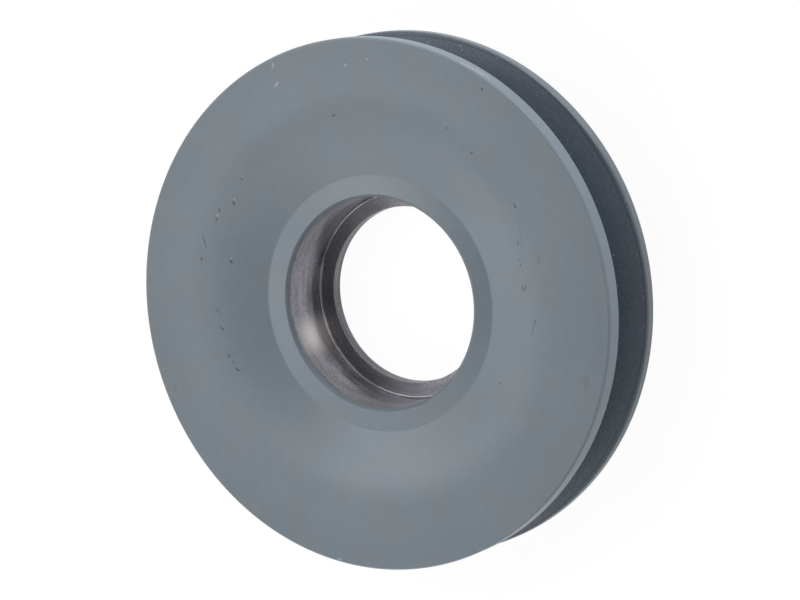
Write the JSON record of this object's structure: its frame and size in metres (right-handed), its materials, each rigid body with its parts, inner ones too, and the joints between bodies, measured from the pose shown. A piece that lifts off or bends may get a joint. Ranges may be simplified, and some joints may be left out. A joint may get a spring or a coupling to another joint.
{
  "type": "wire rope sheave",
  "caption": "Steel wire rope sheave: a round disc with a rope groove in its rim, a dished front face and a stepped bearing seat in its hub.",
  "frame": {"origin": "on the wheel's axis, half way between the two rim faces", "axes": "+Z along the wheel's axis, out of the mouth of the bearing seat; the wheel lies on its flat back"},
  "size_m": [0.2, 0.2, 0.036],
  "materials": {
    "painted_steel": "blue-grey sprayed paint, half matt, with small chips; the bearing seat is bare turned steel"
  },
  "bodies": {
    "root": {"sheave": "painted_steel"}
  },
  "joints": []
}
